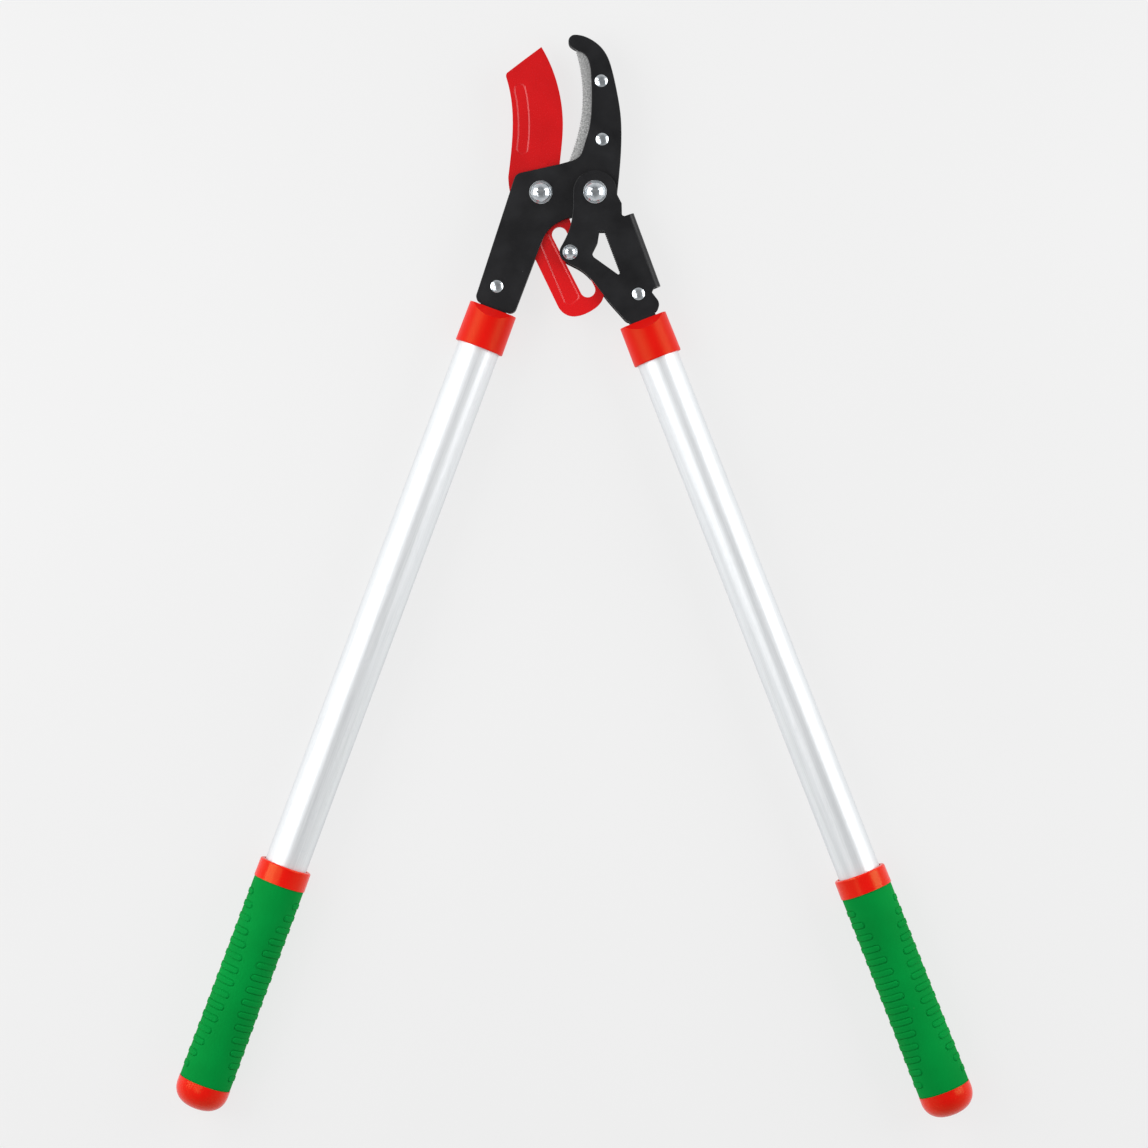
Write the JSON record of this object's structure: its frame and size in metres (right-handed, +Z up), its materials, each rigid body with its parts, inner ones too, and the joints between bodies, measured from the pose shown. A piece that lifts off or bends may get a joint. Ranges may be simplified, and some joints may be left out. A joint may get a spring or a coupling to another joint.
{
  "type": "anvil loppers",
  "caption": "Two-handed geared anvil loppers with a slotted blade tail, hooked anvil plates, tubular handles and soft grips.",
  "frame": {"origin": "middle of the outline, on the surface the loppers lie on", "axes": "+Z up from that surface, +Y along the loppers towards the blade tip, +X across the handles"},
  "size_m": [0.5573, 0.7569, 0.0373],
  "materials": {
    "black_paint": "satin",
    "red_coating": "satin",
    "blasted_steel": "matte",
    "zinc_steel": "bright",
    "bronze": "satin",
    "aluminium_tube": "satin",
    "red_plastic": "semi-gloss",
    "green_rubber": "matte"
  },
  "bodies": {
    "frame": {"hook_plate_front": "black_paint", "hook_plate_back": "black_paint", "anvil_strip": "blasted_steel", "anvil_rivets": "zinc_steel", "blade_bolt": "zinc_steel", "blade_nut": "zinc_steel", "blade_bush": "bronze", "pivot_spacer": "zinc_steel", "left_filler": "zinc_steel", "left_arm_rivet": "zinc_steel", "left_cross_rivet": "zinc_steel", "left_collar": "red_plastic", "left_tube": "aluminium_tube", "left_grip_core": "red_plastic", "left_grip_sleeve": "green_rubber", "left_end_cap": "red_plastic"},
    "blade": {"blade": "red_coating"},
    "lever": {"lever_bracket": "black_paint", "lever_washers": "zinc_steel", "lever_bolt": "zinc_steel", "lever_nut": "zinc_steel", "drive_bolt": "zinc_steel", "drive_nut": "zinc_steel", "right_filler": "zinc_steel", "right_arm_rivet": "zinc_steel", "right_cross_rivet": "zinc_steel", "right_collar": "red_plastic", "right_tube": "aluminium_tube", "right_grip_core": "red_plastic", "right_grip_sleeve": "green_rubber", "right_end_cap": "red_plastic"},
    "roller": {"drive_roller": "zinc_steel"}
  },
  "joints": [
    {"name": "lever_swing", "type": "hinge", "parent": "frame", "child": "lever", "pos_m": [0.0147, 0.2667, 0.01875], "axis": [0, 0, 1], "range_deg": [-21, 37]},
    {"name": "blade_swing", "type": "hinge", "parent": "frame", "child": "blade", "pos_m": [-0.0231, 0.2667, 0.01875], "axis": [0, 0, 1], "range_deg": [-13.4, 23.6]},
    {"name": "roller_spin", "type": "hinge", "parent": "lever", "child": "roller", "pos_m": [-0.0027, 0.2246, 0.01875], "axis": [0, 0, 1], "continuous": true}
  ],
  "couplings": [
    {"joint": "blade_swing", "follows": "lever_swing", "ratio": 0.63}
  ]
}
